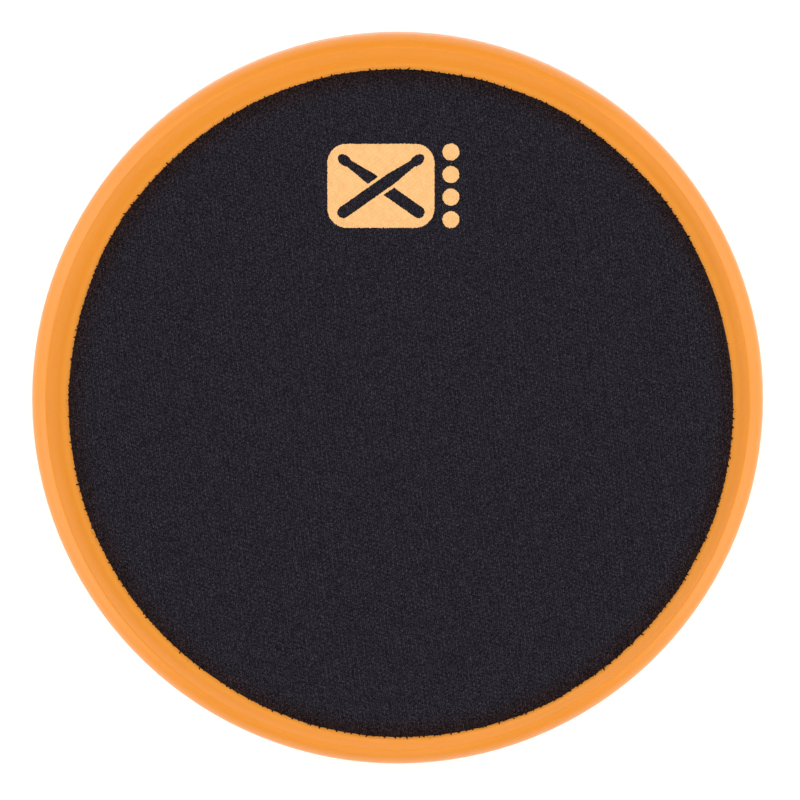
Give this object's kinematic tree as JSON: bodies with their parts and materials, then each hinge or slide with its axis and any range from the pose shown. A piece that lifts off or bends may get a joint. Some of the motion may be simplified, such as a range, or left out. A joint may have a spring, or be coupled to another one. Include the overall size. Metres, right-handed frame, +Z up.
{
  "type": "practice pad",
  "caption": "Round drum practice pad: a knit-faced striking sheet over foam discs, set in a lipped rubber cup with a grip ring and a threaded stand insert underneath.",
  "frame": {"origin": "middle of the round base, at the table surface that the grip ring rests on", "axes": "+Z up through the playing surface, along the pad's axis; +Y towards the emblem; -Z out of the mouth of the stand thread"},
  "size_m": [0.1524, 0.1524, 0.0238],
  "materials": {
    "orange_rubber": "satin",
    "grip_rubber": "matte",
    "adhesive_film": "tacky",
    "plate_plastic": "satin",
    "insert_brass": "machined",
    "screw_steel": "zinc plated",
    "firm_foam": "closed cell foam",
    "soft_foam": "open cell foam",
    "neoprene": "closed cell foam",
    "knit_fabric": "knit",
    "print_ink": "screen print"
  },
  "bodies": {
    "root": {"base_cup": "orange_rubber", "grip_ring": "grip_rubber", "grip_ring_adhesive": "adhesive_film", "stiffener_plate": "plate_plastic", "plate_adhesive": "adhesive_film", "threaded_insert": "insert_brass", "insert_screws": "screw_steel", "firm_foam_adhesive": "adhesive_film", "firm_foam_disc": "firm_foam", "soft_foam_adhesive": "adhesive_film", "soft_foam_disc": "soft_foam", "top_sheet_adhesive": "adhesive_film", "neoprene_sheet": "neoprene", "knit_facing": "knit_fabric", "printed_emblem": "print_ink"}
  },
  "joints": []
}
